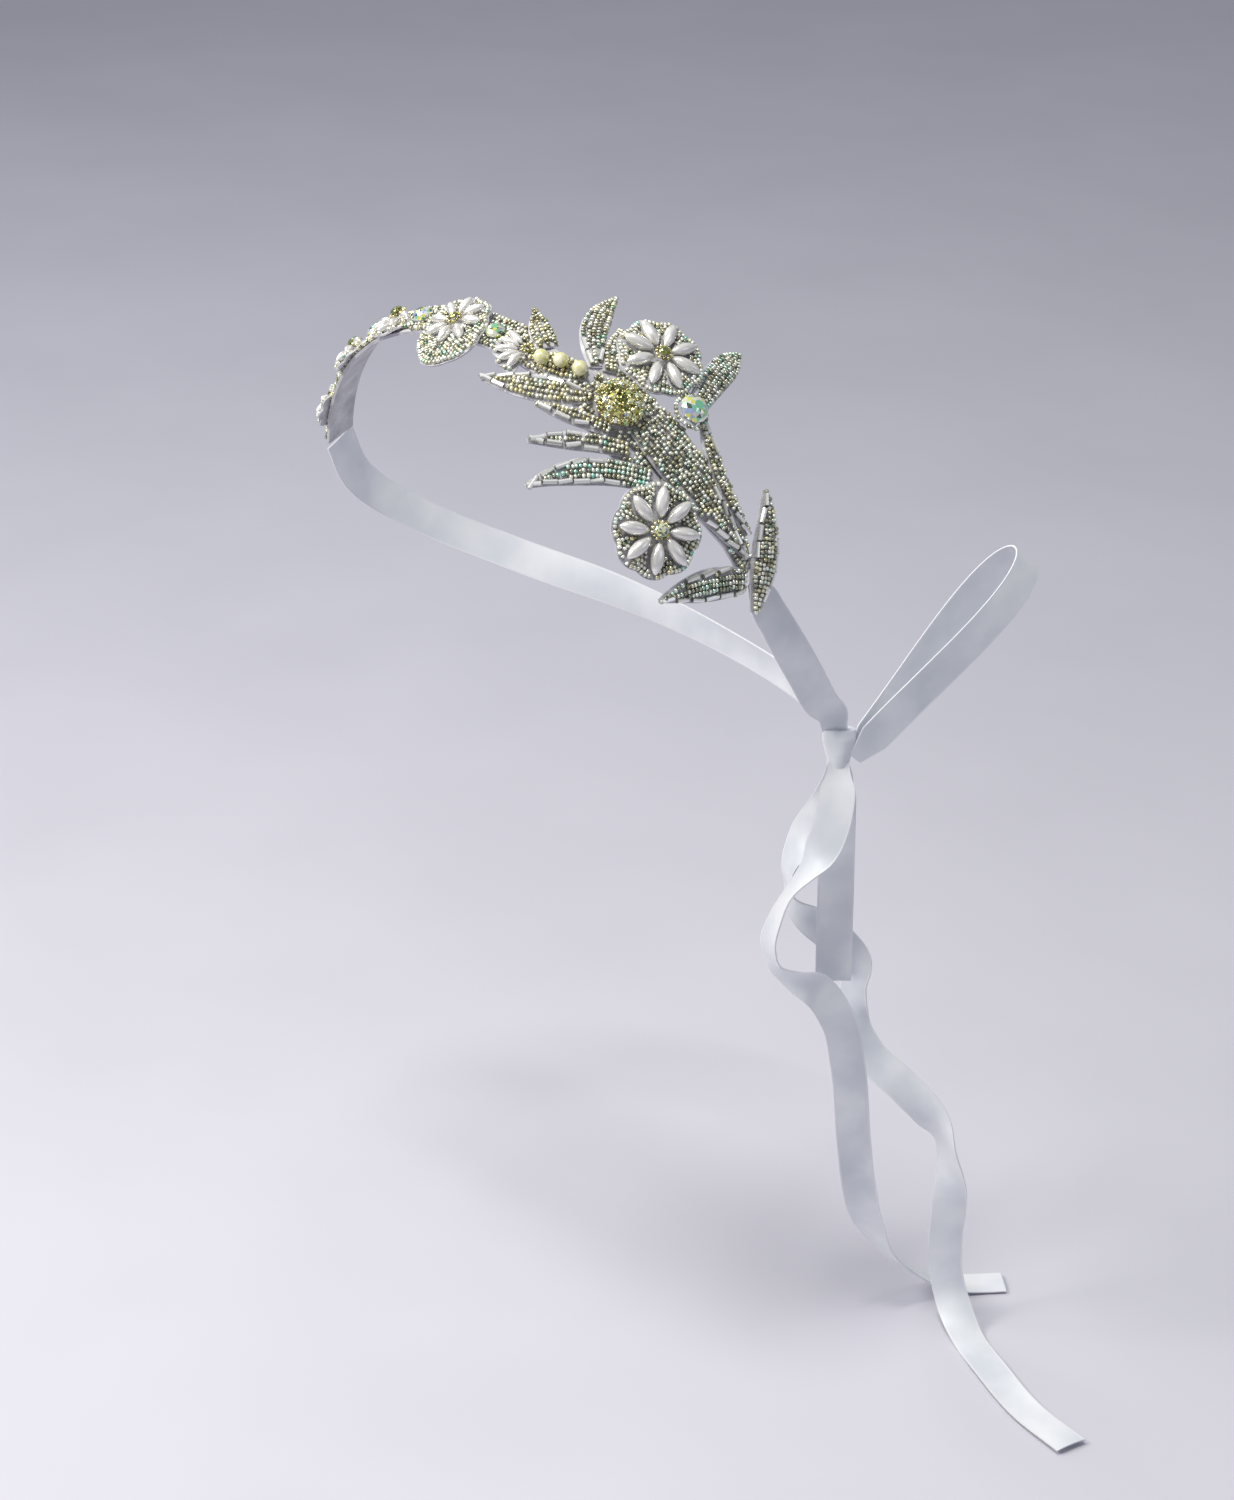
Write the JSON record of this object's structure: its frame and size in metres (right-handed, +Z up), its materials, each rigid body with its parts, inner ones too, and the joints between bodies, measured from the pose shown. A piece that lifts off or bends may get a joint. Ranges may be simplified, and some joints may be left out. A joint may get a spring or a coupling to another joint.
{
  "type": "pearl headband",
  "caption": "Beaded wedding headband with pearl flowers, a side spray of beaded leaves and a satin ribbon bow with long tails.",
  "frame": {"origin": "top of the head that the band sits over, on the inner side of the arch", "axes": "+Z up, the wearer faces -Y, +X towards the wearer's left, where the spray and the bow are"},
  "size_m": [0.2767, 0.1921, 0.3878],
  "materials": {
    "fabric": "stiffened white cotton with a lilac cast",
    "satin": "white satin ribbon with a fine woven edge",
    "beadwork": "silver-lined glass seed and bugle beads",
    "pearl": "imitation rice pearl with a soft lustre",
    "ivory_pearl": "imitation ivory pearl",
    "crystal": "faceted foil-backed crystal with an aurora coat",
    "olive_crystal": "small faceted olive and gold crystal",
    "gilt": "gilt setting with small rhinestones"
  },
  "bodies": {
    "root": {"backing": "fabric", "flower_a_base": "fabric", "flower_a_pearls": "pearl", "flower_a_stone": "olive_crystal", "flower_b_base": "fabric", "flower_b_pearls": "pearl", "flower_b_stone": "olive_crystal", "flower_c_base": "fabric", "flower_c_pearls": "pearl", "flower_e_base": "fabric", "flower_e_pearls": "pearl", "flower_e_stone": "olive_crystal", "flower_h_base": "fabric", "flower_h_pearls": "pearl", "flower_h_stone": "olive_crystal", "flower_m_base": "fabric", "flower_m_pearls": "pearl", "flower_m_stone": "olive_crystal", "flower_p_base": "fabric", "flower_p_pearls": "pearl", "flower_p_stone": "olive_crystal", "leaf_1": "beadwork", "leaf_2": "beadwork", "leaf_3": "beadwork", "leaf_4": "beadwork", "leaf_5": "beadwork", "leaf_6": "beadwork", "leaf_7": "beadwork", "leaf_8": "beadwork", "leaf_9": "beadwork", "leaf_10": "beadwork", "stem_main": "beadwork", "stem_side": "beadwork", "pod": "beadwork", "pod_pearl_1": "ivory_pearl", "pod_pearl_2": "ivory_pearl", "pod_pearl_3": "ivory_pearl", "crystal_d": "crystal", "crystal_f": "crystal", "crystal_i": "crystal", "crystal_k": "crystal", "crystal_n": "crystal", "cluster": "gilt", "knot": "satin", "strap_left": "satin", "strap_right": "satin", "bow_loop_up": "satin", "bow_loop_down": "satin", "tail_a": "satin", "tail_b": "satin"}
  },
  "joints": []
}
